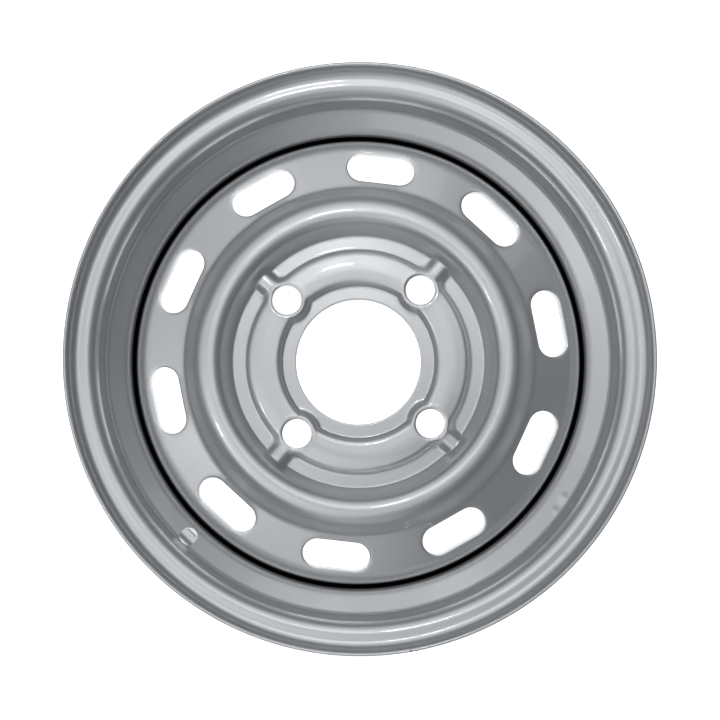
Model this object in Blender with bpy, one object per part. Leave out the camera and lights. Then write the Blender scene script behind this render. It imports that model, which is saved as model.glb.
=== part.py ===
"""Steel trailer wheel: a rolled rim band with a pressed disc welded into its well.

Lengths are metres. The wheel lies on the lip of its inner flange, with its axis on Z,
its outer face up and the floor at Z = 0. The rear is the side that faces the trailer.
"""

import math

import bmesh
import bpy
from mathutils import Matrix, Vector

# Rim band, measured on the side that the tyre touches
BEAD_DIAMETER = 0.3548
RIM_WIDTH = 0.1143
RIM_SHEET = 0.0025
FLANGE_HEIGHT = 0.0173
FLANGE_CURL = 0.0095
LIP_TURN = math.radians(15)
BEAD_TAPER = math.radians(5)
BEAD_FILLET = 0.0065
HUMP_FOOT_FROM_FLANGE = 0.0165
HUMP_CREST_FROM_FLANGE = 0.0222
HUMP_RISE = 0.0018
HUMP_BEND = 0.0035
WELL_DEPTH = 0.01775
WELL_BEND = 0.0075
FRONT_WELL_SLOPE = math.radians(28)
REAR_WELL_SLOPE = math.radians(50)

# Valve hole in the front wall of the well
VALVE_HOLE_DIAMETER = 0.0117
VALVE_HOLE_ANGLE = math.radians(225.7)
VALVE_HOLE_SHIFT = 0.0013

# Disc, measured on its front face
DISC_SHEET = 0.0040
WHEEL_OFFSET = 0.0300
BORE_DIAMETER = 0.0860
FOOT_BEND = 0.0012
PRESS_FIT_GAP = 0.0003

# Raised ring that carries the bolt holes
PITCH_DIAMETER = 0.1300
RING_WIDTH = 0.0252
RING_RISE = 0.0073
RING_CROWN = 0.0013
RING_SIDE = math.radians(60)
RING_BEND = 0.0016

# Bolt holes, their seats, and the pads and ribs pressed round them
BOLT_COUNT = 4
BOLT_ANGLE = math.radians(49.3)
BOLT_HOLE_DIAMETER = 0.0200
SEAT_DIAMETER = 0.0255
SEAT_DEPTH = 0.0026
PAD_DIAMETER = 0.0356
PAD_PROUD = 0.0003
RIB_WIDTH = 0.0160
RIB_RISE = 0.0052
RIB_BEND = 0.0008

# Nose ring between the bolt ring and the slots
OUTER_FLAT_WIDTH = 0.0093
NOSE_WIDTH = 0.0326
NOSE_RISE = 0.0163
NOSE_FOOT_RISE = 0.0038
NOSE_WALL = math.radians(65)
NOSE_FLANK = math.radians(48)
NOSE_INNER_BEND = 0.0060
NOSE_OUTER_BEND = 0.0080
NOSE_FOOT_BEND = 0.0060

# Cone with the ventilation slots, and the flange that is pressed into the well
CONE_SLOPE = math.radians(12)
SHOULDER_BEND = 0.0100
SLOT_COUNT = 10
SLOT_ANGLE = math.radians(11.4)
SLOT_LENGTH = 0.0465
SLOT_WIDTH = 0.0205
SLOT_LAND = 0.0042

# Weld beads on the rear, between the end of the flange and the well
WELD_COUNT = 10
WELD_LENGTH = 0.0420
WELD_LEG = 0.0040
WELD_LAND = 0.0083
WELD_END_SHARE = 0.45
WELD_CROWN_SHARE = 0.62

# Facets
WHEEL_FACETS = 44
PAD_FACETS = 16
HOLE_FACETS = 16
SLOT_END_FACETS = 4
BEND_SAG = 0.0009
WELD_STEPS = 3
OVERRUN = 0.0020
SAME_POINT = 0.000001

# Places worked out from the sizes above
bead_radius = BEAD_DIAMETER / 2
well_radius = bead_radius - WELL_DEPTH
well_inside = well_radius - RIM_SHEET
lip_reach = (
    FLANGE_CURL
    + (FLANGE_CURL - RIM_SHEET / 2) * math.sin(LIP_TURN)
    + RIM_SHEET / 2 * math.cos(LIP_TURN)
)
front_flange = lip_reach + RIM_WIDTH
rear_flange = lip_reach
hub_face = lip_reach + RIM_WIDTH / 2 + WHEEL_OFFSET
flat_face = hub_face + DISC_SHEET
hump_radius = bead_radius - math.tan(BEAD_TAPER) * HUMP_FOOT_FROM_FLANGE + HUMP_RISE
front_hump = front_flange - HUMP_CREST_FROM_FLANGE
rear_hump = rear_flange + HUMP_CREST_FROM_FLANGE
well_fall = hump_radius - well_radius
front_floor = front_hump - well_fall * math.tan(FRONT_WELL_SLOPE)
rear_floor = rear_hump + well_fall * math.tan(REAR_WELL_SLOPE)

bore_radius = BORE_DIAMETER / 2
pitch_radius = PITCH_DIAMETER / 2
ring_inside = pitch_radius - RING_WIDTH / 2
ring_outside = pitch_radius + RING_WIDTH / 2
wall_foot = ring_outside + OUTER_FLAT_WIDTH
nose_foot = wall_foot + NOSE_WIDTH
flange_radius = well_inside - PRESS_FIT_GAP
flange_end = rear_floor + WELD_LAND
slot_radius = nose_foot + SLOT_LAND + SLOT_WIDTH / 2


def bent_line(corners, sheet, sheet_side):
    """Points of one face of a bent sheet, each with the direction into the sheet.

    A corner is (x, y, inside bend radius), and is left sharp where that radius is 0. The
    sheet lies on the left of the line's direction where sheet_side is 1, and on its right
    where it is -1. A bend that is wider than its two straight runs allow is narrowed to
    fit them, and its chords leave its arc by BEND_SAG at most.
    """
    points = [Vector(corner[:2]) for corner in corners]
    runs = [end - start for start, end in zip(points, points[1:])]
    ways = [run.normalized() for run in runs]
    turns = [0.0]
    for before, after in zip(ways, ways[1:]):
        turns.append(math.atan2(before.cross(after), before.dot(after)))
    turns.append(0.0)
    radii = []
    for (_, _, inside), turn in zip(corners, turns):
        radii.append(inside + sheet if turn * sheet_side > 0 else inside)
    reaches = [radius * math.tan(abs(turn) / 2) for radius, turn in zip(radii, turns)]
    shares = [1.0]
    for run, first, second in zip(runs, reaches, reaches[1:]):
        shares.append(min(1.0, run.length / max(first + second, SAME_POINT)))
    shares.append(1.0)

    def into_sheet(way):
        return Vector((-way.y, way.x)) * sheet_side

    line = [(points[0], into_sheet(ways[0]))]
    for index in range(1, len(points) - 1):
        share = min(shares[index], shares[index + 1])
        turn = turns[index]
        outer_bend = corners[index][2] + sheet
        widest_step = 2 * math.acos(1 - BEND_SAG / outer_bend)
        steps = math.ceil(abs(turn) / widest_step)
        if corners[index][2] == 0:
            middle = (into_sheet(ways[index - 1]) + into_sheet(ways[index])).normalized()
            line.append((points[index], middle / math.cos(turn / 2)))
            continue
        start = points[index] - ways[index - 1] * reaches[index] * share
        left = Vector((-ways[index - 1].y, ways[index - 1].x))
        centre = start + left * math.copysign(radii[index] * share, turn)
        for step in range(steps + 1):
            turned = Matrix.Rotation(turn * step / steps, 2)
            line.append((centre + turned @ (start - centre), turned @ into_sheet(ways[index - 1])))
    line.append((points[-1], into_sheet(ways[-1])))
    return line


def face_at(line, depth):
    """The points of a bent line, moved into its sheet by a depth."""
    return [point + inward * depth for point, inward in line]


def spun(outline, facets, closed=True):
    """A mesh turned round Z from (radius, height) points. An open outline ends on the axis."""
    mesh = bmesh.new()
    verts = [mesh.verts.new((radius, 0, height)) for radius, height in outline]
    edges = [mesh.edges.new(pair) for pair in zip(verts, verts[1:])]
    if closed:
        edges.append(mesh.edges.new((verts[-1], verts[0])))
    bmesh.ops.spin(
        mesh,
        geom=verts + edges,
        cent=(0, 0, 0),
        axis=(0, 0, 1),
        angle=math.tau,
        steps=facets,
        use_duplicate=False,
    )
    bmesh.ops.remove_doubles(mesh, verts=mesh.verts, dist=SAME_POINT)
    return mesh


def prism(outline, way):
    """A mesh with a flat outline at one end, extruded along a vector."""
    mesh = bmesh.new()
    face = mesh.faces.new([mesh.verts.new(point) for point in outline])
    moved = bmesh.ops.extrude_face_region(mesh, geom=[face], use_keep_orig=True)["geom"]
    copied = [item for item in moved if isinstance(item, bmesh.types.BMVert)]
    bmesh.ops.translate(mesh, verts=copied, vec=way)
    return mesh


def add_object(name, mesh, material=None):
    """An object from a mesh. Without a material it is a guide, which no render shows."""
    bmesh.ops.recalc_face_normals(mesh, faces=mesh.faces)
    data = bpy.data.meshes.new(name)
    mesh.to_mesh(data)
    mesh.free()
    data.shade_smooth()
    data.set_sharp_from_angle(angle=math.radians(35))
    item = bpy.data.objects.new(name, data)
    bpy.context.scene.collection.objects.link(item)
    if material:
        data.materials.append(material)
    else:
        item.hide_render = True
        item.display_type = "WIRE"
    return item


def shape_with(item, operation, tool):
    """Adds a tool's volume to an object, or cuts it away."""
    modifier = item.modifiers.new(f"{operation.lower()} {tool.name}", "BOOLEAN")
    modifier.operation = operation
    modifier.object = tool


def paint(name, colour, roughness, metallic):
    material = bpy.data.materials.new(name)
    material.use_nodes = True
    shader = material.node_tree.nodes["Principled BSDF"]
    shader.inputs["Base Color"].default_value = (*colour, 1)
    shader.inputs["Roughness"].default_value = roughness
    shader.inputs["Metallic"].default_value = metallic
    return material


def place_round(item, angle, radius=0.0):
    """Turns an object round the wheel's axis, after moving it out along X."""
    item.matrix_world = Matrix.Rotation(angle, 4, "Z") @ Matrix.Translation((radius, 0, 0))


def half_rim(flange, outward):
    """Corners of the rim from a lip to the top of its hump. Outward is 1 at the front."""
    edge_radius = bead_radius + FLANGE_HEIGHT
    curl_middle = edge_radius - FLANGE_CURL
    lip_run = FLANGE_CURL * math.tan(LIP_TURN / 2)
    lip = (
        curl_middle + FLANGE_CURL * math.cos(LIP_TURN),
        flange + outward * FLANGE_CURL * (1 + math.sin(LIP_TURN)),
        0,
    )
    return [
        lip,
        (edge_radius, flange + outward * (FLANGE_CURL + lip_run), 0),
        (edge_radius, flange, FLANGE_CURL - RIM_SHEET),
        (bead_radius, flange, BEAD_FILLET),
        (hump_radius - HUMP_RISE, flange - outward * HUMP_FOOT_FROM_FLANGE, 0),
        (hump_radius, flange - outward * HUMP_CREST_FROM_FLANGE, HUMP_BEND),
    ]


def rim_band(material):
    """The rolled band: two curled flanges, bead seats, humps and the well between them."""
    corners = half_rim(front_flange, 1)
    corners += [(well_radius, front_floor, WELL_BEND), (well_radius, rear_floor, WELL_BEND)]
    corners += reversed(half_rim(rear_flange, -1))
    line = bent_line(corners, RIM_SHEET, -1)
    tyre_side = face_at(line, 0)
    hub_side = face_at(line, RIM_SHEET)
    front_tip = (tyre_side[0] + hub_side[0]) / 2
    front_tip += Vector((-math.sin(LIP_TURN), math.cos(LIP_TURN))) * RIM_SHEET / 2
    rear_tip = (tyre_side[-1] + hub_side[-1]) / 2
    rear_tip += Vector((-math.sin(LIP_TURN), -math.cos(LIP_TURN))) * RIM_SHEET / 2
    outline = [front_tip, *tyre_side, rear_tip, *reversed(hub_side)]
    band = add_object("rim_band", spun(outline, WHEEL_FACETS), material)

    wall_way = Vector((math.cos(FRONT_WELL_SLOPE), math.sin(FRONT_WELL_SLOPE)))
    wall_middle = Vector((well_radius + well_fall / 2, (front_floor + front_hump) / 2))
    hole = wall_middle + wall_way * VALVE_HOLE_SHIFT
    drill = bmesh.new()
    bmesh.ops.create_cone(
        drill,
        cap_ends=True,
        segments=HOLE_FACETS,
        radius1=VALVE_HOLE_DIAMETER / 2,
        radius2=VALVE_HOLE_DIAMETER / 2,
        depth=2 * (RIM_SHEET + OVERRUN),
    )
    cutter = add_object("valve_hole", drill)
    cutter.matrix_world = (
        Matrix.Rotation(VALVE_HOLE_ANGLE, 4, "Z")
        @ Matrix.Translation((hole.x, 0, hole.y))
        @ Matrix.Rotation(-FRONT_WELL_SLOPE, 4, "Y")
    )
    shape_with(band, "DIFFERENCE", cutter)


def disc_line():
    """Front face of the disc, from the bore to the end of its flange."""
    ring_shoulder = RING_RISE - RING_CROWN
    ring_run = ring_shoulder / math.tan(RING_SIDE)
    wall_run = NOSE_RISE / math.tan(NOSE_WALL)
    flank_run = (NOSE_RISE - NOSE_FOOT_RISE) / math.tan(NOSE_FLANK)
    cone_fall = (flange_radius - nose_foot) * math.tan(CONE_SLOPE)
    corners = [
        (bore_radius, flat_face, 0),
        (ring_inside, flat_face, FOOT_BEND),
        (ring_inside + ring_run, flat_face + ring_shoulder, RING_BEND),
        (pitch_radius, flat_face + RING_RISE, 0),
        (ring_outside - ring_run, flat_face + ring_shoulder, RING_BEND),
        (ring_outside, flat_face, FOOT_BEND),
        (wall_foot, flat_face, FOOT_BEND),
        (wall_foot + wall_run, flat_face + NOSE_RISE, NOSE_INNER_BEND),
        (nose_foot - flank_run, flat_face + NOSE_RISE, NOSE_OUTER_BEND),
        (nose_foot, flat_face + NOSE_FOOT_RISE, NOSE_FOOT_BEND),
        (flange_radius, flat_face + NOSE_FOOT_RISE - cone_fall, SHOULDER_BEND),
        (flange_radius, flange_end, 0),
    ]
    return bent_line(corners, DISC_SHEET, -1)


def pad_mesh(depth, foot):
    """The pad round a bolt hole, on Z, as the press leaves it at a depth in the sheet.

    It is turned by half a facet, so that its edges run between those of the hole's seat.
    """
    rise = RING_RISE + PAD_PROUD
    run = rise / math.tan(RING_SIDE)
    low = foot - flat_face
    corners = [
        (0, flat_face + rise, 0),
        (PAD_DIAMETER / 2 - run, flat_face + rise, RING_BEND),
        (PAD_DIAMETER / 2 - low / math.tan(RING_SIDE), foot, 0),
    ]
    top = face_at(bent_line(corners, DISC_SHEET, -1), depth)
    mesh = spun([*top, Vector((0, top[-1].y))], PAD_FACETS, closed=False)
    half_facet = Matrix.Rotation(math.pi / PAD_FACETS, 3, "Z")
    bmesh.ops.rotate(mesh, verts=mesh.verts, cent=(0, 0, 0), matrix=half_facet)
    return mesh


def rib_mesh(depth, foot, end):
    """The rib from a pad to the wall of the nose, as the press leaves it at a depth."""
    low = foot - flat_face
    top = RIB_WIDTH / 2 - RIB_RISE / math.tan(RING_SIDE)
    base = RIB_WIDTH / 2 - low / math.tan(RING_SIDE)
    corners = [
        (-base, foot, 0),
        (-top, flat_face + RIB_RISE, RIB_BEND),
        (top, flat_face + RIB_RISE, RIB_BEND),
        (base, foot, 0),
    ]
    section = face_at(bent_line(corners, DISC_SHEET, -1), depth)
    return prism([(0, y, z) for y, z in section], (end - pitch_radius, 0, 0))


def seat_mesh():
    """A bolt hole with the cone that its nut sits in, on Z."""
    top = flat_face + RING_RISE + PAD_PROUD
    hole = BOLT_HOLE_DIAMETER / 2
    widening = (SEAT_DIAMETER / 2 - hole) / SEAT_DEPTH
    outline = [
        (0, hub_face - OVERRUN),
        (hole, hub_face - OVERRUN),
        (hole, top - SEAT_DEPTH),
        (hole + widening * (SEAT_DEPTH + OVERRUN), top + OVERRUN),
        (0, top + OVERRUN),
    ]
    return spun(outline, HOLE_FACETS, closed=False)


def slot_mesh():
    """A ventilation slot on Z: straight sides along Y and a half circle at each end."""
    low = flat_face + NOSE_FOOT_RISE - NOSE_RISE - DISC_SHEET
    outline = []
    for way in (1, -1):
        centre = way * (SLOT_LENGTH - SLOT_WIDTH) / 2
        for step in range(SLOT_END_FACETS + 1):
            angle = math.pi * step / SLOT_END_FACETS
            x = way * SLOT_WIDTH / 2 * math.cos(angle)
            y = way * SLOT_WIDTH / 2 * math.sin(angle)
            outline.append((x, centre + y, low))
    return prism(outline, (0, 0, 2 * NOSE_RISE))


def wheel_disc(material):
    """The pressed disc. What lies under its rear face is cut from what lies under its front."""
    line = disc_line()
    front = face_at(line, 0)
    outline = [*front, (bore_radius, flange_end)]
    disc = add_object("wheel_disc", spun(outline, WHEEL_FACETS), material)

    rear = face_at(line, DISC_SHEET)
    hollow_inside = bore_radius - OVERRUN
    hollow_floor = flange_end - OVERRUN
    outline = [
        (hollow_inside, rear[0].y),
        *rear[:-1],
        (rear[-1].x, hollow_floor),
        (hollow_inside, hollow_floor),
    ]
    hollow = add_object("disc_hollow", spun(outline, WHEEL_FACETS))

    bolt_angles = [BOLT_ANGLE + math.tau * bolt / BOLT_COUNT for bolt in range(BOLT_COUNT)]
    slot_angles = [SLOT_ANGLE + math.tau * slot / SLOT_COUNT for slot in range(SLOT_COUNT)]
    raised_foot = flat_face - DISC_SHEET / 4
    hollow_foot = hub_face - OVERRUN + DISC_SHEET * math.cos(RING_SIDE)
    raised_end = wall_foot + RIB_RISE / math.tan(NOSE_WALL) + DISC_SHEET / 4
    hollow_end = raised_end + DISC_SHEET / math.sin(NOSE_WALL)
    for number, angle in enumerate(bolt_angles, 1):
        pad = add_object(f"pad_{number}", pad_mesh(0, raised_foot))
        rib = add_object(f"rib_{number}", rib_mesh(0, raised_foot, raised_end))
        place_round(pad, angle, pitch_radius)
        place_round(rib, angle, pitch_radius)
        shape_with(disc, "UNION", pad)
        shape_with(disc, "UNION", rib)
    shape_with(disc, "DIFFERENCE", hollow)
    for number, angle in enumerate(bolt_angles, 1):
        pad = add_object(f"pad_hollow_{number}", pad_mesh(DISC_SHEET, hollow_foot))
        rib = add_object(f"rib_hollow_{number}", rib_mesh(DISC_SHEET, hollow_foot, hollow_end))
        seat = add_object(f"bolt_hole_{number}", seat_mesh())
        for cutter in (pad, rib, seat):
            place_round(cutter, angle, pitch_radius)
            shape_with(disc, "DIFFERENCE", cutter)
    for number, angle in enumerate(slot_angles, 1):
        slot = add_object(f"slot_{number}", slot_mesh())
        place_round(slot, angle, slot_radius)
        shape_with(disc, "DIFFERENCE", slot)


def weld_beads(material):
    """Fillet welds in the corner between the flange's end and the well, tapered at both ends."""
    outside = well_inside * math.cos(math.pi / WHEEL_FACETS) - PRESS_FIT_GAP
    top = flange_end - PRESS_FIT_GAP
    crown = WELD_LEG * WELD_CROWN_SHARE
    section = [
        (outside, top),
        (outside - WELD_LEG, top),
        (outside - crown, top - crown),
        (outside, top - WELD_LEG),
    ]
    sweep = WELD_LENGTH / outside
    first_angle = SLOT_ANGLE + math.pi / SLOT_COUNT - sweep / 2
    for number in range(WELD_COUNT):
        mesh = bmesh.new()
        corner = Vector((outside, 0, top))
        verts = []
        for radius, height in section:
            verts.append(mesh.verts.new(corner.lerp((radius, 0, height), WELD_END_SHARE)))
        ring = mesh.faces.new(verts)
        for step in range(1, WELD_STEPS + 1):
            size = WELD_END_SHARE if step == WELD_STEPS else 1
            turned = Matrix.Rotation(sweep * step / WELD_STEPS, 3, "Z")
            made = bmesh.ops.extrude_discrete_faces(mesh, faces=[ring])["faces"]
            ring = made[0]
            for vert, (radius, height) in zip(ring.verts, section):
                vert.co = turned @ corner.lerp((radius, 0, height), size)
        mesh.faces.new(verts)
        bead = add_object(f"weld_bead_{number + 1:02d}", mesh, material)
        place_round(bead, first_angle + math.tau * number / WELD_COUNT)


for item in list(bpy.data.objects):
    bpy.data.objects.remove(item)

silver_paint = paint("silver_paint", (0.42, 0.43, 0.44), 0.34, 0.55)
painted_weld = paint("painted_weld", (0.36, 0.37, 0.38), 0.48, 0.45)

rim_band(silver_paint)
wheel_disc(silver_paint)
weld_beads(painted_weld)
bpy.context.view_layer.update()
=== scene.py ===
"""Steel trailer wheel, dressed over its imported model. Lengths are metres, and it lies on its inner lip."""

import math
from bisect import bisect_left

import bmesh
import bpy
from mathutils import Matrix, Vector


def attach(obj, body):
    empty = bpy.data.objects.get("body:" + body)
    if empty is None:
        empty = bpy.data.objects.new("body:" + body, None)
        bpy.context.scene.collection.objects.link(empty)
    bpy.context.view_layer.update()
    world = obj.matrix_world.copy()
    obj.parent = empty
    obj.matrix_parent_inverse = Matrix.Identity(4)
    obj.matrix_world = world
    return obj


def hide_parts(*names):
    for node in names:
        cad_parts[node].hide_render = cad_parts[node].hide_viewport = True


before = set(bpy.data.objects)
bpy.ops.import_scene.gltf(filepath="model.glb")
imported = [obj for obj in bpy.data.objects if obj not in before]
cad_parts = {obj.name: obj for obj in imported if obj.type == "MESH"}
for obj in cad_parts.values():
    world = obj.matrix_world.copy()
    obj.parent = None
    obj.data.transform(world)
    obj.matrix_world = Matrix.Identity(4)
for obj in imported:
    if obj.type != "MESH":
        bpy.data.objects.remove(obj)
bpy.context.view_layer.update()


# Rim band: one strip of 2.5 mm steel, rolled into a hoop and butt welded, then rolled again to
# its curled flanges, bead seats, humps and drop centre. The valve hole is drilled in the front
# wall of the well, and the whole band is stoved in silver paint.
RIM_SHEET = 0.0025
RIM_WIDTH = 0.1143
BEAD_RADIUS = 0.1774
EDGE_RADIUS = 0.19465
FLANGE_CURL = 0.0095
LIP_TURN = math.radians(15)
LIP_END = 0.46 * RIM_SHEET
LIP_BEVEL = 0.0011
LIP_BEVEL_STEPS = 4
BEAD_FILLET = 0.0065
BEAD_TAPER = math.radians(5)
SEAT_WIDTH = 0.0165
HUMP_PLACE = 0.0222
HUMP_RISE = 0.0018
HUMP_BEND = 0.0035
WELL_RADIUS = 0.15965
WELL_BEND = 0.0075
FRONT_WELL_SLOPE = math.radians(28)
REAR_WELL_SLOPE = math.radians(50)
VALVE_ANGLE = math.radians(225.7)
VALVE_PLACE = 0.1695
VALVE_RADIUS = 0.00585
VALVE_CLEARING = 0.0013
VALVE_RINGS = [0.0006, 0]
VALVE_MARGIN = 0.002

# How finely the band is drawn: the turn has finer steps round the valve hole.
RIM_BEND_STEP = math.radians(9)
SHORTEST_BEND_STEP = 0.0004
FLANGE_STEP = 0.004
SEAT_STEP = 0.006
WALL_STEP = 0.0009
WELL_STEP = 0.010
FINE_SPAN = math.radians(12)
FINE_STEPS = 30
COARSE_STEPS = 330
SAME_POINT = 0.00001
SAME_RING_POINT = 0.00002
NUDGE = 0.0001
FACE_DEPTH = 0.002
EDGE_DEPTH = 0.02
OUTLINE_MARGIN = 0.003
SHARP_EDGE = math.radians(35)
SMOOTH_SHEET = math.radians(40)

lip_reach = (
    FLANGE_CURL
    + (FLANGE_CURL - RIM_SHEET / 2) * math.sin(LIP_TURN)
    + RIM_SHEET / 2 * math.cos(LIP_TURN)
)
rear_flange = lip_reach
front_flange = lip_reach + RIM_WIDTH
seat_end_radius = BEAD_RADIUS - math.tan(BEAD_TAPER) * SEAT_WIDTH
hump_radius = seat_end_radius + HUMP_RISE
front_hump = front_flange - HUMP_PLACE
rear_hump = rear_flange + HUMP_PLACE
front_floor = front_hump - (hump_radius - WELL_RADIUS) * math.tan(FRONT_WELL_SLOPE)
rear_floor = rear_hump + (hump_radius - WELL_RADIUS) * math.tan(REAR_WELL_SLOPE)


def draw_sheet(name, corners, sheet, sheet_side, bend_step):
    """Draws one face of a bent sheet on the XZ plane, run by run and bend by bend.

    A corner is (radius, height, inside bend radius, longest step of the run that leads to it).
    The sheet lies on the left of the line's direction where sheet_side is 1.
    """
    points = [Vector((corner[0], 0, corner[1])) for corner in corners]
    bpy.ops.object.select_all(action="DESELECT")
    bpy.ops.mesh.primitive_plane_add(size=sheet, location=points[0])
    item = bpy.context.object
    item.name = item.data.name = name
    bpy.ops.object.transform_apply(location=True, rotation=False, scale=False)
    bpy.ops.object.mode_set(mode="EDIT")
    bpy.ops.mesh.select_mode(type="VERT")
    bpy.ops.mesh.select_all(action="SELECT")
    bpy.ops.mesh.merge(type="CENTER")

    def run_to(start, end, step):
        count = max(1, math.ceil((end - start).length / step))
        move = {"value": (end - start) / count}
        for _ in range(count):
            bpy.ops.mesh.extrude_vertices_move(TRANSFORM_OT_translate=move)

    here = points[0]
    for before, corner, after, values in zip(points, points[1:], points[2:], corners[1:]):
        bend, step = values[2:]
        way_in = (corner - before).normalized()
        way_out = (after - corner).normalized()
        left = Vector((-way_in.z, 0, way_in.x))
        turn = math.atan2(way_out.dot(left), way_out.dot(way_in))
        radius = bend + (sheet if turn * sheet_side > 0 else 0)
        reach = radius * math.tan(abs(turn) / 2)
        bend_start = corner - way_in * reach
        run_to(here, bend_start, step)
        most_steps = abs(turn) * radius / SHORTEST_BEND_STEP
        bpy.ops.mesh.spin(
            steps=math.ceil(min(abs(turn) / bend_step, most_steps)),
            angle=abs(turn),
            center=bend_start + left * math.copysign(radius, turn),
            axis=(0, math.copysign(1, turn), 0),
        )
        here = corner + way_out * reach
    run_to(here, points[-1], corners[-1][3])
    return item


def line_height(item, lowest, highest, innermost):
    """Returns the function that gives the height of a drawn line at a place in plan.

    Only the line's points between two heights, and outside the innermost radius, count.
    """
    points = [vert.co for vert in bmesh.from_edit_mesh(item.data).verts]
    points = [co for co in points if lowest < co.z < highest and co.x > innermost]
    line = sorted({round(co.x, 6): co.z for co in points}.items())

    def height(place):
        after = min(max(bisect_left(line, (place.length, 0)), 1), len(line) - 1)
        (near, low), (far, high) = line[after - 1], line[after]
        return low + (high - low) * (place.length - near) / (far - near)

    return height


def turn_round(item, spans, start):
    """Spins the drawn line into a wheel. A span is (angle, steps); the first begins at start."""
    bpy.ops.mesh.select_all(action="SELECT")
    for angle, steps in spans:
        bpy.ops.mesh.spin(steps=steps, angle=angle, center=(0, 0, 0), axis=(0, 0, -1))
    bpy.ops.mesh.select_all(action="SELECT")
    bpy.ops.mesh.remove_doubles(threshold=SAME_POINT)
    bpy.ops.mesh.normals_make_consistent(inside=False)
    bpy.ops.object.mode_set(mode="OBJECT")
    item.rotation_euler.z = start
    bpy.ops.object.transform_apply(location=False, rotation=True, scale=False)


def run_to_edge(point, holes, half_run):
    """The nearest place on the middle line of the nearest hole, and the way from there to the point."""
    hole = min(holes, key=lambda middle: (point.xy - middle).length_squared)
    along = Vector((-hole.y, hole.x)).normalized()
    run = min(half_run, max(-half_run, (point.xy - hole).dot(along)))
    nearest = hole + along * run
    return nearest, point.xy - nearest


def punch(item, holes, half_run, half_width, face_height, clearing, margins):
    """Takes out the faces in and just round each hole, then draws the edge in to it, ring by ring.

    A hole is the place of its middle in plan, and its straight sides lie along the wheel's turn.
    The margins are those of the rings outside the outline. A face counts only near the drawn
    height, because the rim's bead seat lies over the valve hole's outer side in plan.
    """

    def is_near(point, margin, depth):
        hole = min(holes, key=lambda middle: (point.xy - middle).length_squared)
        if half_run:
            run = hole.angle_signed(point.xy) * hole.length
            past_run = max(0, abs(run) - half_run)
            reach = math.hypot(past_run, point.xy.length - hole.length)
        else:
            reach = (point.xy - hole).length
        return reach < half_width + margin and abs(point.z - face_height(point.xy)) < depth

    bpy.ops.object.mode_set(mode="EDIT")
    bpy.ops.mesh.select_all(action="DESELECT")
    bpy.ops.mesh.select_mode(type="FACE")
    mesh = bmesh.from_edit_mesh(item.data)
    for face in mesh.faces:
        face.select_set(is_near(face.calc_center_median(), clearing, FACE_DEPTH))
    bpy.ops.mesh.delete(type="FACE")
    bpy.ops.mesh.select_mode(type="EDGE")
    mesh = bmesh.from_edit_mesh(item.data)
    for edge in mesh.edges:
        if edge.is_boundary:
            middle = (edge.verts[0].co + edge.verts[1].co) / 2
            edge.select_set(is_near(middle, clearing + OUTLINE_MARGIN, EDGE_DEPTH))
    for number, margin in enumerate(margins):
        bpy.ops.mesh.extrude_edges_move()
        if number == 0:
            bpy.ops.mesh.subdivide(number_cuts=1)
        mesh = bmesh.from_edit_mesh(item.data)
        for vert in mesh.verts:
            if vert.select:
                nearest, way = run_to_edge(vert.co, holes, half_run)
                place = nearest + way.normalized() * (half_width + margin)
                vert.co = (*place, face_height(place))
        bpy.ops.mesh.remove_doubles(threshold=SAME_RING_POINT)
    bpy.ops.object.mode_set(mode="OBJECT")


def thicken(item, sheet, side, holes, reach, face_height):
    """Gives the drawn face its sheet, on the side away from the way it faces.

    Round the holes the back is placed by the slope of the drawn height, because the narrow
    faces there don't tell it. It lies above the drawn face where side is 1.
    """
    drawn = len(item.data.vertices)
    bpy.ops.object.modifier_add(type="SOLIDIFY")
    wall = item.modifiers[-1]
    wall.thickness, wall.offset = sheet, -1
    bpy.ops.object.modifier_apply(modifier=wall.name)
    east, north = Vector((NUDGE, 0)), Vector((0, NUDGE))
    for number in range(drawn):
        co = item.data.vertices[number].co
        place = co.xy
        near = min((place - hole).length for hole in holes) < reach
        if near and abs(co.z - face_height(place)) < SAME_POINT:
            slope = Vector((
                face_height(place + east) - face_height(place - east),
                face_height(place + north) - face_height(place - north),
            )) / (2 * NUDGE)
            back = item.data.vertices[drawn + number]
            up = Vector((-slope.x, -slope.y, 1)).normalized()
            back.co = co + up * sheet * side


def round_edges(item, belongs, width, segments):
    """Bevels the sharp edges whose middle belongs."""
    bpy.ops.object.mode_set(mode="EDIT")
    bpy.ops.mesh.select_mode(type="EDGE")
    bpy.ops.mesh.select_all(action="DESELECT")
    bpy.ops.mesh.edges_select_sharp(sharpness=SHARP_EDGE)
    mesh = bmesh.from_edit_mesh(item.data)
    for edge in mesh.edges:
        if edge.select and not belongs((edge.verts[0].co + edge.verts[1].co) / 2):
            edge.select_set(False)
    bpy.ops.mesh.bevel(offset=width, segments=segments, affect="EDGES", clamp_overlap=False)
    bpy.ops.object.mode_set(mode="OBJECT")


def on_circle(radius, angle):
    return Vector((radius * math.cos(angle), radius * math.sin(angle)))


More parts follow.
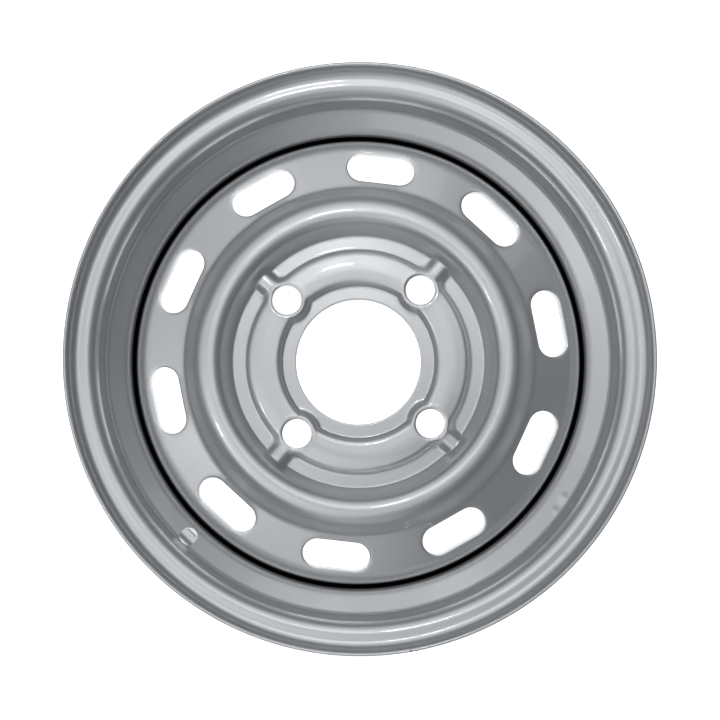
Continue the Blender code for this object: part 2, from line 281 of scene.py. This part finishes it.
def half_rim(flange, outward):
    """Corners of the rim from a lip to the top of its hump. Outward is 1 at the front."""
    curl_middle = EDGE_RADIUS - FLANGE_CURL
    lip_way = Vector((-math.sin(LIP_TURN), outward * math.cos(LIP_TURN)))
    lip = Vector((curl_middle, flange + outward * FLANGE_CURL)) + lip_way * LIP_END
    lip += Vector((math.cos(LIP_TURN), outward * math.sin(LIP_TURN))) * FLANGE_CURL
    curl_bend = FLANGE_CURL - RIM_SHEET
    curl_top = flange + outward * FLANGE_CURL * (1 + math.tan(LIP_TURN / 2))
    return [
        (*lip, 0, RIM_SHEET),
        (EDGE_RADIUS, curl_top, curl_bend, FLANGE_STEP),
        (EDGE_RADIUS, flange, curl_bend, FLANGE_STEP),
        (BEAD_RADIUS, flange, BEAD_FILLET, FLANGE_STEP),
        (seat_end_radius, flange - outward * SEAT_WIDTH, HUMP_BEND, SEAT_STEP),
        (hump_radius, flange - outward * HUMP_PLACE, HUMP_BEND, FLANGE_STEP),
    ]


rim_corners = half_rim(front_flange, 1)
rim_corners += [
    (WELL_RADIUS, front_floor, WELL_BEND, WALL_STEP),
    (WELL_RADIUS, rear_floor, WELL_BEND, WELL_STEP),
]
rim_corners += reversed(half_rim(rear_flange, -1))
rim = draw_sheet("painted_rim_band", rim_corners, RIM_SHEET, -1, RIM_BEND_STEP)
wall_height = line_height(rim, front_floor - WELL_BEND, front_hump, WELL_RADIUS + NUDGE)
rim_spans = [(FINE_SPAN, FINE_STEPS), (math.tau - FINE_SPAN, COARSE_STEPS)]
turn_round(rim, rim_spans, VALVE_ANGLE - FINE_SPAN / 2)
valve = on_circle(VALVE_PLACE, VALVE_ANGLE)
punch(rim, [valve], 0, VALVE_RADIUS, wall_height, VALVE_CLEARING, VALVE_RINGS)
thicken(rim, RIM_SHEET, 1, [valve], VALVE_RADIUS + VALVE_MARGIN, wall_height)
round_edges(rim, lambda middle: middle.xy.length > BEAD_RADIUS, LIP_BEVEL, LIP_BEVEL_STEPS)
bpy.ops.object.shade_smooth_by_angle(angle=SMOOTH_SHEET)

# Silver paint: sprayed and stoved over everything in one go, with fine metal flake under a clear
# coat and the faint waviness of sprayed paint. Its flake runs from a dark to a light tone.
SILVER_LIGHT = (0.64, 0.655, 0.67)
SILVER_DARK = (0.56, 0.57, 0.585)
SILVER_ROUGHNESS = 0.38
SILVER_RIPPLE = 0.08
METAL_SHARE = 0.8
CLEAR_COAT = 0.9
COAT_ROUGHNESS = 0.05
ROUGHNESS_SPREAD = 0.03
RIPPLE_DEPTH = 0.0002
FLAKE_SCALE = 2600
FLAKE_DETAIL = 3
RIPPLE_SCALE = 420
RIPPLE_DETAIL = 2
GLOSS_SCALE = 14
GLOSS_DETAIL = 3
NOISE_LOW = 0.3
NOISE_HIGH = 0.7
# Painted shade: the narrow crevice between disc and well is coloured near black, standing in for the deep
# shadow there.
CREVICE_SHADE_COLOUR = (0.008, 0.008, 0.009, 1)
CREVICE_INSIDE = 0.1550
CREVICE_OUTSIDE = 0.1578
CREVICE_INSIDE_SOFT = 0.0021
CREVICE_OUTSIDE_SOFT = 0.0004
CREVICE_LOW = 0.067
CREVICE_HIGH = 0.104
CREVICE_HEIGHT_SOFT = 0.0006
# Small marks in the paint of the front: those of the ground butt weld, and two specks on the lip.
# A mark is its place in plan, its radius, its tone and its strength.
MARKS_LOW = 0.09
MARKS_FULL = 0.095
MARKS = [
    (0.1427, -0.0914, 0.0030, 0.20, 0.4),
    (0.1362, -0.1010, 0.0032, 0.22, 0.35),
    (0.1408, -0.0958, 0.0046, 0.90, 0.35),
    (0.1350, -0.1040, 0.0028, 0.90, 0.3),
    (0.0332, -0.1906, 0.0011, 0.03, 0.9),
    (0.0376, -0.1903, 0.0010, 0.03, 0.9),
]
MARK_CORE = 0.4


def painted(name, light, dark, roughness, ripple):
    material = bpy.data.materials.new(name)
    material.use_nodes = True
    nodes, links = material.node_tree.nodes, material.node_tree.links
    shader = nodes["Principled BSDF"]
    shader.inputs["Metallic"].default_value = METAL_SHARE
    shader.inputs["Coat Weight"].default_value = CLEAR_COAT
    shader.inputs["Coat Roughness"].default_value = COAT_ROUGHNESS
    place = nodes.new("ShaderNodeTexCoord")

    def noise(scale, detail):
        made = nodes.new("ShaderNodeTexNoise")
        made.inputs["Scale"].default_value = scale
        made.inputs["Detail"].default_value = detail
        links.new(place.outputs["Object"], made.inputs["Vector"])
        return made

    def spread(source, low, high, low_value, high_value, output=0):
        made = nodes.new("ShaderNodeMapRange")
        for socket, value in zip(made.inputs[1:5], (low, high, low_value, high_value)):
            socket.default_value = value
        links.new(source.outputs[output], made.inputs[0])
        return made

    def multiplied(one, other):
        made = nodes.new("ShaderNodeMath")
        made.operation = "MULTIPLY"
        links.new(one.outputs[0], made.inputs[0])
        links.new(other.outputs[0], made.inputs[1])
        return made

    def within(source, output, low, low_soft, high, high_soft):
        """1 between low and high, falling to 0 over the soft width beyond each."""
        rising = spread(source, low - low_soft, low, 0, 1, output)
        return multiplied(rising, spread(source, high, high + high_soft, 1, 0, output))

    def mixed(factor, colour_socket, over):
        """A mix of the colour from a socket with a plain colour laid over it."""
        made = nodes.new("ShaderNodeMix")
        made.data_type = "RGBA"
        links.new(factor.outputs[0], made.inputs["Factor"])
        links.new(colour_socket, made.inputs[6])
        made.inputs[7].default_value = over
        return made.outputs[2]

    place_parts = nodes.new("ShaderNodeSeparateXYZ")
    links.new(place.outputs["Object"], place_parts.inputs[0])
    flat_place = nodes.new("ShaderNodeCombineXYZ")
    links.new(place_parts.outputs["X"], flat_place.inputs["X"])
    links.new(place_parts.outputs["Y"], flat_place.inputs["Y"])
    radius = nodes.new("ShaderNodeVectorMath")
    radius.operation = "LENGTH"
    links.new(flat_place.outputs[0], radius.inputs[0])
    # Painted shade mask: 1 in the crevice between disc and well, by its radius and height.
    crevice_shade = multiplied(
        within(
            radius, "Value", CREVICE_INSIDE, CREVICE_INSIDE_SOFT, CREVICE_OUTSIDE, CREVICE_OUTSIDE_SOFT
        ),
        within(place_parts, "Z", CREVICE_LOW, CREVICE_HEIGHT_SOFT, CREVICE_HIGH, CREVICE_HEIGHT_SOFT),
    )

    flake = nodes.new("ShaderNodeValToRGB")
    stops = [(NOISE_LOW, dark), (NOISE_HIGH, light)]
    for element, (position, colour) in zip(flake.color_ramp.elements, stops):
        element.position, element.color = position, (*colour, 1)
    links.new(noise(FLAKE_SCALE, FLAKE_DETAIL).outputs[0], flake.inputs[0])
    # Painted shade: near black laid over the flake in the crevice, where the deep shadow falls.
    paint = mixed(crevice_shade, flake.outputs[0], CREVICE_SHADE_COLOUR)
    for x, y, size, tone, strength in MARKS:
        from_mark = nodes.new("ShaderNodeVectorMath")
        from_mark.operation = "DISTANCE"
        links.new(flat_place.outputs[0], from_mark.inputs[0])
        from_mark.inputs[1].default_value = (x, y, 0)
        mark = spread(from_mark, size * MARK_CORE, size, strength, 0, "Value")
        on_front = spread(place_parts, MARKS_LOW, MARKS_FULL, 0, 1, "Z")
        paint = mixed(multiplied(mark, on_front), paint, (tone, tone, tone, 1))
    links.new(paint, shader.inputs["Base Color"])
    lowest, highest = roughness - ROUGHNESS_SPREAD, roughness + ROUGHNESS_SPREAD
    gloss = spread(noise(GLOSS_SCALE, GLOSS_DETAIL), NOISE_LOW, NOISE_HIGH, lowest, highest)
    links.new(gloss.outputs[0], shader.inputs["Roughness"])
    bump = nodes.new("ShaderNodeBump")
    bump.inputs["Strength"].default_value = ripple
    bump.inputs["Distance"].default_value = RIPPLE_DEPTH
    links.new(noise(RIPPLE_SCALE, RIPPLE_DETAIL).outputs[0], bump.inputs["Height"])
    links.new(bump.outputs[0], shader.inputs["Normal"])
    return material


def put_in_place(item, paint, node):
    """Paints a finished piece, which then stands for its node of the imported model."""
    item.data.materials.clear()
    item.data.materials.append(paint)
    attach(item, "root")
    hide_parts(node)


silver_paint = painted("silver paint", SILVER_LIGHT, SILVER_DARK, SILVER_ROUGHNESS, SILVER_RIPPLE)
put_in_place(rim, silver_paint, "rim_band")


# Wheel disc: a 4 mm blank, drawn to the nose, the ring of the bolt holes with its pads and ribs,
# and the flange that is pressed into the well. Bore, slots and the coned bolt holes are punched,
# which rolls their front edges over. It is painted with the rim.
DISC_SHEET = 0.004
WHEEL_OFFSET = 0.03
BORE_RADIUS = 0.043
FOOT_BEND = 0.0010
BOLT_CIRCLE = 0.065
RING_WIDTH = 0.0252
RING_RISE = 0.0043
RING_CROWN = 0.0006
RING_SIDE = math.radians(64)
RING_BEND = 0.0012
CROWN_BEND = 0.034
OUTER_FLAT = 0.0093
NOSE_WIDTH = 0.0326
NOSE_RISE = 0.0163
NOSE_FOOT_RISE = 0.0038
NOSE_WALL = math.radians(65)
NOSE_FLANK = math.radians(48)
NOSE_INNER_BEND = 0.006
NOSE_OUTER_BEND = 0.008
NOSE_FOOT_BEND = 0.006
CONE_SLOPE = math.radians(12)
SHOULDER_BEND = 0.010
PRESS_GAP = 0.0003
WELD_LAND = 0.0083
BOLT_COUNT = 4
BOLT_ANGLE = math.radians(49.3)
BOLT_HOLE = 0.010
SEAT_RADIUS = 0.0121
SEAT_DEPTH = 0.0011
SEAT_ROUNDING = 0.0007
SEAT_CLEARING = 0.0018
SEAT_RING = 0.0003
PAD_RADIUS = 0.0164
PAD_RISE = 0.0046
PAD_ROUNDING = 0.0034
PAD_SIDE = math.radians(50)
PAD_REACH = 0.04
RIB_HALF = 0.0082
RIB_SIDE = math.radians(42)
RIB_RISE = 0.0039
RIB_ROUNDING = 0.0022
FOOT_ROUNDING = 0.0014
SLOT_COUNT = 10
SLOT_ANGLE = math.radians(11.4)
SLOT_CIRCLE = 0.13395
SLOT_HALF_RUN = 0.013
SLOT_HALF_WIDTH = 0.01025
SLOT_CLEARING = 0.0029
SLOT_RINGS = [0.0013, 0.0008, 0.0004, 0]
HOLE_MARGIN = 0.004
ROLL_DEPTH = 0.0004
ROLL_WIDTH = 0.0016
EDGE_BEVEL = 0.0006
EDGE_BEVEL_STEPS = 3
EDGE_ZONE = 0.001

# How finely the disc is drawn: the pads have finer steps than the ring between them.
DISC_BEND_STEP = math.radians(12)
FLAT_STEP = 0.0014
SIDE_STEP = 0.0012
CONE_STEP = 0.002
NOSE_STEP = 0.003
PRESS_FLANGE_STEP = 0.012
PAD_SPAN = math.radians(32)
PAD_STEPS = 40
BETWEEN_PAD_STEPS = 50
PRESSED_ZONE = 0.006
FRONT_DEPTH = 0.02

flat_face = lip_reach + RIM_WIDTH / 2 + WHEEL_OFFSET + DISC_SHEET
ring_inside = BOLT_CIRCLE - RING_WIDTH / 2
ring_outside = BOLT_CIRCLE + RING_WIDTH / 2
ring_shoulder = RING_RISE - RING_CROWN
ring_run = ring_shoulder / math.tan(RING_SIDE)
wall_foot = ring_outside + OUTER_FLAT
wall_top = wall_foot + NOSE_RISE / math.tan(NOSE_WALL)
nose_foot = wall_foot + NOSE_WIDTH
flank_top = nose_foot - (NOSE_RISE - NOSE_FOOT_RISE) / math.tan(NOSE_FLANK)
flange_radius = WELL_RADIUS - RIM_SHEET - PRESS_GAP
flange_end = rear_floor + WELD_LAND
shoulder = flat_face + NOSE_FOOT_RISE - (flange_radius - nose_foot) * math.tan(CONE_SLOPE)
disc_corners = [
    (BORE_RADIUS, flat_face, 0, 0),
    (ring_inside, flat_face, FOOT_BEND, FLAT_STEP),
    (ring_inside + ring_run, flat_face + ring_shoulder, RING_BEND, SIDE_STEP),
    (BOLT_CIRCLE, flat_face + RING_RISE, CROWN_BEND, FLAT_STEP),
    (ring_outside - ring_run, flat_face + ring_shoulder, RING_BEND, FLAT_STEP),
    (ring_outside, flat_face, FOOT_BEND, SIDE_STEP),
    (wall_foot, flat_face, FOOT_BEND, FLAT_STEP),
    (wall_top, flat_face + NOSE_RISE, NOSE_INNER_BEND, CONE_STEP),
    (flank_top, flat_face + NOSE_RISE, NOSE_OUTER_BEND, NOSE_STEP),
    (nose_foot, flat_face + NOSE_FOOT_RISE, NOSE_FOOT_BEND, NOSE_STEP),
    (flange_radius, shoulder, SHOULDER_BEND, CONE_STEP),
    (flange_radius, flange_end, 0, PRESS_FLANGE_STEP),
]
bolts = [on_circle(BOLT_CIRCLE, BOLT_ANGLE + math.tau * n / BOLT_COUNT) for n in range(BOLT_COUNT)]
slots = [on_circle(SLOT_CIRCLE, SLOT_ANGLE + math.tau * n / SLOT_COUNT) for n in range(SLOT_COUNT)]

disc = draw_sheet("painted_wheel_disc", disc_corners, DISC_SHEET, -1, DISC_BEND_STEP)
sheet_height = line_height(disc, flat_face - FRONT_DEPTH, flat_face + FRONT_DEPTH, 0)


def merged(one, other, rounding):
    """The higher of two heights, rounded where they meet. A rounding below 0 gives the lower."""
    side = math.copysign(1, rounding)
    near = max(0, abs(rounding) - abs(one - other))
    return side * max(side * one, side * other) + near * near / (4 * rounding)


def pressed_height(place):
    """Height of the disc's front at a place in plan, with the pads and ribs pressed up from it."""
    height = sheet_height(place)
    bolt = min(bolts, key=lambda middle: (place - middle).length_squared)
    reach = place - bolt
    if reach.length > PAD_REACH:
        return height
    pad_side = flat_face + (PAD_RADIUS - reach.length) * math.tan(PAD_SIDE)
    pad = merged(flat_face + PAD_RISE, pad_side, -PAD_ROUNDING)
    height = merged(height, pad, FOOT_ROUNDING)
    out = bolt.normalized()
    if reach.dot(out) > 0:
        side = flat_face + (RIB_HALF - abs(reach.cross(out))) * math.tan(RIB_SIDE)
        height = merged(height, merged(flat_face + RIB_RISE, side, -RIB_ROUNDING), FOOT_ROUNDING)
    return height


between_pads = math.tau / BOLT_COUNT - PAD_SPAN
disc_spans = [(PAD_SPAN, PAD_STEPS), (between_pads, BETWEEN_PAD_STEPS)] * BOLT_COUNT
turn_round(disc, disc_spans, BOLT_ANGLE - PAD_SPAN / 2)
for vert in disc.data.vertices:
    if vert.co.xy.length < wall_foot + PRESSED_ZONE:
        vert.co.z = pressed_height(vert.co.xy)
punch(disc, slots, SLOT_HALF_RUN, SLOT_HALF_WIDTH, pressed_height, SLOT_CLEARING, SLOT_RINGS)
seat_edge = SEAT_RADIUS - BOLT_HOLE
seat_rings = [seat_edge + SEAT_RING, seat_edge - SEAT_RING, seat_edge / 2, SEAT_RING, 0]
punch(disc, bolts, 0, BOLT_HOLE, pressed_height, seat_edge + SEAT_CLEARING, seat_rings)
front_points = range(len(disc.data.vertices))
hole_reach = SLOT_HALF_RUN + SLOT_HALF_WIDTH + HOLE_MARGIN
thicken(disc, DISC_SHEET, -1, slots + bolts, hole_reach, pressed_height)
for number in front_points:
    vert = disc.data.vertices[number]
    if vert.co.xy.length > nose_foot:
        margin = run_to_edge(vert.co, slots, SLOT_HALF_RUN)[1].length - SLOT_HALF_WIDTH
        vert.co.z -= ROLL_DEPTH * max(0, 1 - margin / ROLL_WIDTH) ** 2
    else:
        margin = run_to_edge(vert.co, bolts, 0)[1].length - BOLT_HOLE
        vert.co.z += merged(0, SEAT_DEPTH * (margin / seat_edge - 1), -SEAT_ROUNDING)


def on_bore_or_end(middle):
    return middle.xy.length < BORE_RADIUS + EDGE_ZONE or middle.z < flange_end + EDGE_ZONE


round_edges(disc, on_bore_or_end, EDGE_BEVEL, EDGE_BEVEL_STEPS)
bpy.ops.object.shade_smooth_by_angle(angle=SMOOTH_SHEET)
put_in_place(disc, silver_paint, "wheel_disc")


# Weld beads: ten runs of wire weld in the corner between the end of the disc's flange and the
# well, each laid over the middle between two slots, with the ripples that the torch leaves. They
# wear the same silver paint, a little darker, rougher and more rippled.
BEAD_COUNT = 10
BEAD_LENGTH = 0.042
BEAD_LEG = 0.0043
BEAD_CROWN = 0.0006
BEAD_RIPPLE = 0.00022
BEAD_GAP = 0.00005
BEAD_STEPS = 114
BEAD_SECTION_POINTS = 12
SAME_BEAD_POINT = 0.000001
SMOOTH_BEAD = math.radians(60)
RIPPLE_COUNT = 19
RIPPLE_BOW = 0.35
BEAD_END_SHARE = 0.07
BEAD_END_SIZE = 0.25
WELD_LIGHT = (0.56, 0.57, 0.58)
WELD_DARK = (0.46, 0.47, 0.48)
WELD_ROUGHNESS = 0.42
WELD_RIPPLE = 0.30

corner_radius = WELL_RADIUS - RIM_SHEET - BEAD_GAP
corner_height = flange_end - BEAD_GAP
bead_turn = BEAD_LENGTH / corner_radius
root = Vector((corner_radius, 0, corner_height))
bpy.ops.object.select_all(action="DESELECT")
bpy.ops.mesh.primitive_circle_add(
    vertices=BEAD_SECTION_POINTS,
    radius=BEAD_LEG,
    fill_type="NGON",
    location=root,
    rotation=(math.pi / 2, 0, 0),
)
bead = bpy.context.object
bpy.ops.object.transform_apply(location=True, rotation=True, scale=True)
section = [root]
for number in range(BEAD_SECTION_POINTS - 1):
    share = number / (BEAD_SECTION_POINTS - 2)
    toe = root - Vector((1 - share, 0, share)) * BEAD_LEG
    section.append(toe + Vector((-1, 0, -1)) * BEAD_CROWN * math.sin(math.pi * share))
for vert, place in zip(bead.data.vertices, section):
    vert.co = place
bpy.ops.object.mode_set(mode="EDIT")
bpy.ops.mesh.select_mode(type="VERT")
bpy.ops.mesh.select_all(action="SELECT")
bpy.ops.mesh.spin(steps=BEAD_STEPS, angle=bead_turn, center=(0, 0, 0), axis=(0, 0, -1))
bpy.ops.mesh.select_all(action="SELECT")
bpy.ops.mesh.remove_doubles(threshold=SAME_BEAD_POINT)
bpy.ops.mesh.normals_make_consistent(inside=False)
bpy.ops.object.mode_set(mode="OBJECT")
for vert in bead.data.vertices:
    turn = math.atan2(vert.co.y, vert.co.x)
    share = turn / bead_turn
    corner = Vector((*on_circle(corner_radius, turn), corner_height))
    way = vert.co - corner
    end = min(1, min(share, 1 - share) / BEAD_END_SHARE)
    size = math.sqrt(max(0, 1 - (1 - end) ** 2)) * (1 - BEAD_END_SIZE) + BEAD_END_SIZE
    bow = RIPPLE_BOW * math.sin(math.pi * way.z / BEAD_LEG)
    wave = abs(math.sin(math.pi * (share * RIPPLE_COUNT + bow)))
    if way.length > NUDGE:
        vert.co = corner + way * size + way.normalized() * BEAD_RIPPLE * (wave - 1) * size
bpy.ops.object.shade_smooth_by_angle(angle=SMOOTH_BEAD)

beads = [bead]
while len(beads) < BEAD_COUNT:
    bpy.ops.object.select_all(action="DESELECT")
    bead.select_set(True)
    bpy.context.view_layer.objects.active = bead
    bpy.ops.object.duplicate()
    beads.append(bpy.context.object)
painted_weld = painted("painted weld", WELD_LIGHT, WELD_DARK, WELD_ROUGHNESS, WELD_RIPPLE)
first_bead = SLOT_ANGLE + math.pi / SLOT_COUNT - bead_turn / 2
for number, item in enumerate(beads):
    item.data.transform(Matrix.Rotation(first_bead + math.tau * number / BEAD_COUNT, 4, "Z"))
    item.name = item.data.name = f"painted_weld_bead_{number + 1:02d}"
    put_in_place(item, painted_weld, f"weld_bead_{number + 1:02d}")


# Studio: a white floor that glows like a light table, as behind the cut-out in the photo, with
# large soft lamps above and on every side but the right, and two small ones for highlights.
FLOOR_SIZE = 8
FLOOR_COLOUR = (0.8, 0.8, 0.8, 1)
FLOOR_ROUGHNESS = 0.8
GLOW_NEAR = 0.34
GLOW_FAR = 0.6
GLOW_BRIGHT = 1.0
GLOW_DIM = 0.3
SKY_COLOUR = (0.9, 0.95, 1, 1)
SKY_STRENGTH = 0.13
LAMP_DISTANCE = 1.9
SOFTBOX_SIZE = 1.1
SMALL_LAMP_SIZE = 0.10

bpy.ops.object.select_all(action="DESELECT")
bpy.ops.mesh.primitive_plane_add(size=FLOOR_SIZE, location=(0, 0, 0))
floor = bpy.context.object
floor.name = floor.data.name = "pale_floor"
floor_finish = bpy.data.materials.new("pale floor")
floor_finish.use_nodes = True
floor_nodes, floor_links = floor_finish.node_tree.nodes, floor_finish.node_tree.links
floor_shader = floor_nodes["Principled BSDF"]
floor_shader.inputs["Base Color"].default_value = FLOOR_COLOUR
floor_shader.inputs["Roughness"].default_value = FLOOR_ROUGHNESS
floor_shader.inputs["Emission Color"].default_value = (1, 1, 1, 1)
floor_place = floor_nodes.new("ShaderNodeTexCoord")
from_middle = floor_nodes.new("ShaderNodeVectorMath")
from_middle.operation = "LENGTH"
glow = floor_nodes.new("ShaderNodeMapRange")
glow.interpolation_type = "SMOOTHSTEP"
for socket, value in zip(glow.inputs[1:5], (GLOW_NEAR, GLOW_FAR, GLOW_BRIGHT, GLOW_DIM)):
    socket.default_value = value
floor_links.new(floor_place.outputs["Object"], from_middle.inputs[0])
floor_links.new(from_middle.outputs["Value"], glow.inputs[0])
floor_links.new(glow.outputs[0], floor_shader.inputs["Emission Strength"])
floor.data.materials.append(floor_finish)

scene = bpy.context.scene
scene.view_settings.view_transform = "Standard"
world = bpy.data.worlds.new("studio")
scene.world = world
world.use_nodes = True
sky = world.node_tree.nodes["Background"]
sky.inputs["Color"].default_value = SKY_COLOUR
sky.inputs["Strength"].default_value = SKY_STRENGTH

# A lamp is square and points at the wheel, from an azimuth and an elevation in degrees.
for name, azimuth, elevation, size, power in [
    ("lower_left_softbox", 240, 68, SOFTBOX_SIZE, 3.7),
    ("upper_right_softbox", 60, 68, SOFTBOX_SIZE, 2.7),
    ("left_softbox", 180, 48, SOFTBOX_SIZE, 2.4),
    ("upper_left_softbox", 130, 54, SOFTBOX_SIZE, 2.0),
    ("top_softbox", 90, 48, SOFTBOX_SIZE, 2.4),
    ("bottom_softbox", 270, 34, SOFTBOX_SIZE, 1.8),
    ("overhead_softbox", 90, 86, SOFTBOX_SIZE, 1.0),
    ("small_top_lamp", 94, 76, SMALL_LAMP_SIZE, 1.5),
    ("small_left_lamp", 202, 62, SMALL_LAMP_SIZE, 1.1),
]:
    bpy.ops.object.light_add(type="AREA")
    lamp = bpy.context.object
    lamp.name, lamp.data.size, lamp.data.energy = name, size, power
    flat_way = on_circle(math.cos(math.radians(elevation)), math.radians(azimuth))
    lamp_way = Vector((*flat_way, math.sin(math.radians(elevation))))
    lamp.location = lamp_way * LAMP_DISTANCE
    lamp.rotation_euler = lamp_way.to_track_quat("Z", "Y").to_euler()


# Camera: looks straight down, a little to the lower left of the wheel's axis, so that the deeper
# rings sit lower and further left than the rim. The shift brings the rim back to the middle.
CAMERA_PLACE = (-0.017, -0.036, 0.7757)
CAMERA_SHIFT = (0.0363, 0.0754)
SENSOR_MM = 36
LENS_MM = 48.7

bpy.ops.object.camera_add(location=CAMERA_PLACE, rotation=(0, 0, 0))
camera = bpy.context.object
camera.data.sensor_width = SENSOR_MM
camera.data.lens = LENS_MM
camera.data.shift_x, camera.data.shift_y = CAMERA_SHIFT
scene.camera = camera
